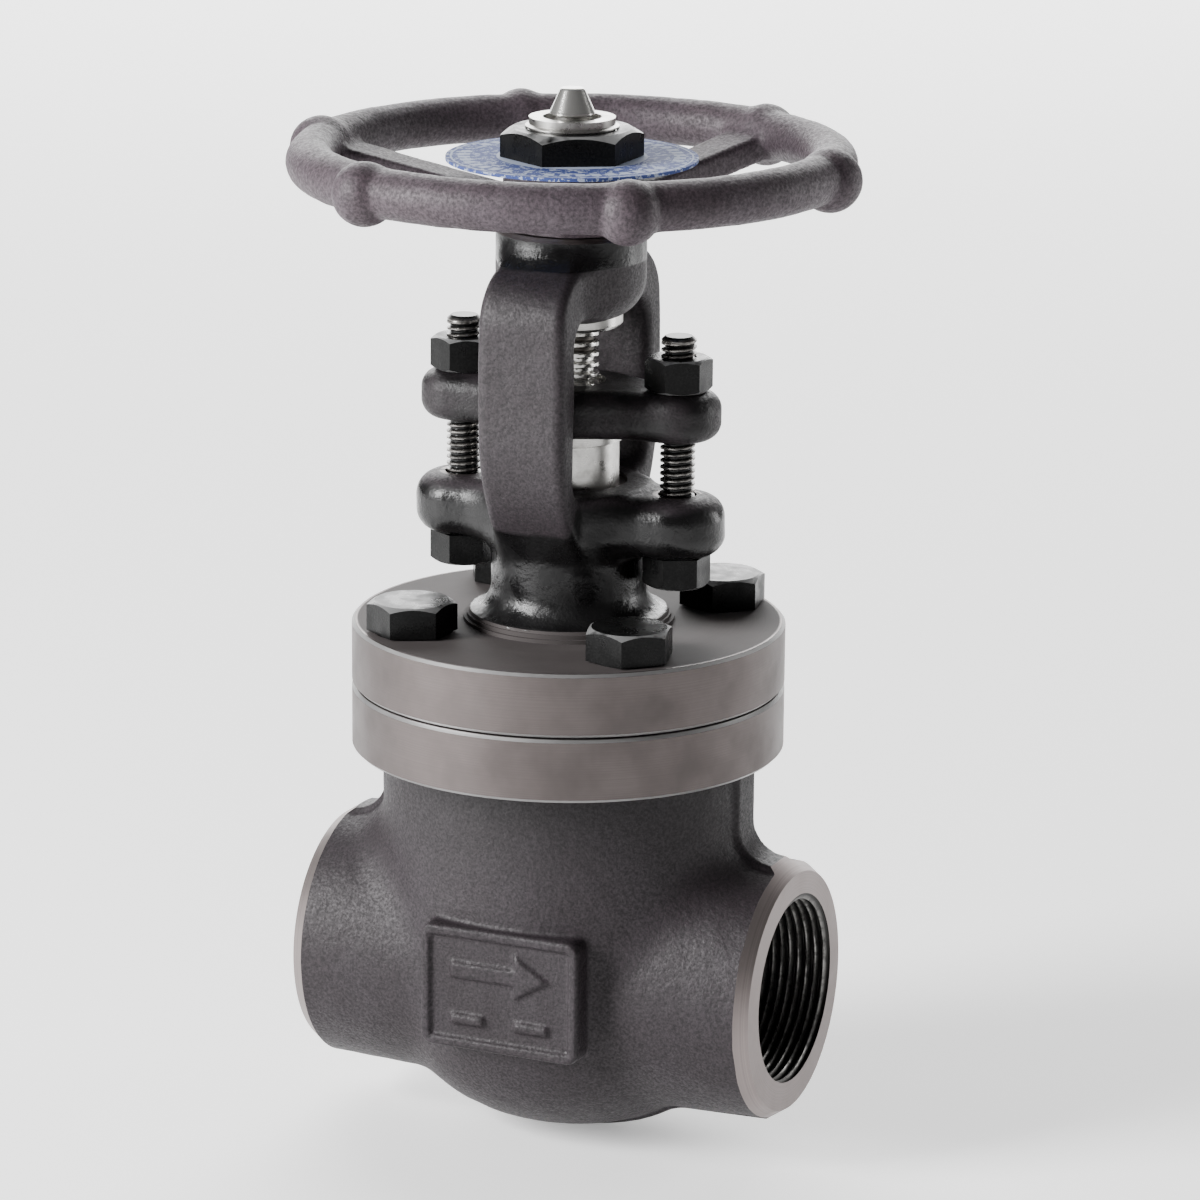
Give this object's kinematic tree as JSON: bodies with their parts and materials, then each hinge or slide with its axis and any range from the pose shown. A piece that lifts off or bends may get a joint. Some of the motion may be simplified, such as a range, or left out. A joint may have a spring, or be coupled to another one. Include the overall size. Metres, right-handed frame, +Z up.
{
  "type": "globe valve",
  "caption": "Forged steel globe valve with bolted bonnet, open yoke, rising stem, ring handwheel and threaded pipe sockets.",
  "frame": {"origin": "where the stem's axis meets the pipe's axis, inside the body", "axes": "+X along the pipe towards the outlet, +Z up along the stem, -Y towards the side with the raised panel"},
  "size_m": [0.1432, 0.137, 0.2597],
  "materials": {
    "forged_body": "rough forged skin with turned flange rim and hub ends",
    "forged_bonnet": "rough forged skin, oiled near the neck, turned flange",
    "forged_small": "rough forged, black oiled",
    "cast_wheel": "rough cast",
    "stainless": "machined stainless steel",
    "hard_trim": "ground hard-faced steel",
    "black_fasteners": "black oxide, oiled",
    "oiled_studs": "plain threaded steel, oiled",
    "graphite": "pressed graphite",
    "printed_plate": "printed sheet with plain marks"
  },
  "bodies": {
    "shell": {"body": "forged_body", "seat_ring": "hard_trim", "gasket_inner_ring": "stainless", "gasket_winding": "graphite", "gasket_outer_ring": "stainless", "bonnet": "forged_bonnet", "backseat_bushing": "stainless", "bonnet_bolts": "black_fasteners", "packing_bottom_ring": "graphite", "packing_core_rings": "graphite", "packing_top_ring": "graphite", "gland": "stainless", "gland_flange": "forged_small", "gland_bolts": "oiled_studs", "gland_nuts": "black_fasteners"},
    "wheel": {"yoke_sleeve": "stainless", "sleeve_thrust_washer": "stainless", "handwheel": "cast_wheel", "name_plate": "printed_plate", "handwheel_nut": "black_fasteners"},
    "plug": {"stem": "stainless", "disc": "hard_trim", "disc_nut": "stainless"}
  },
  "joints": [
    {"name": "handwheel_turn", "type": "hinge", "parent": "shell", "child": "wheel", "pos_m": [0, 0, 0.19], "axis": [0, 0, 1], "range_deg": [0, 1800]},
    {"name": "stem_lift", "type": "slide", "parent": "shell", "child": "plug", "axis": [0, 0, 1], "range_m": [0, 0.0128]}
  ],
  "couplings": [
    {"joint": "stem_lift", "follows": "handwheel_turn", "m_per_rad": 0.00040425}
  ]
}
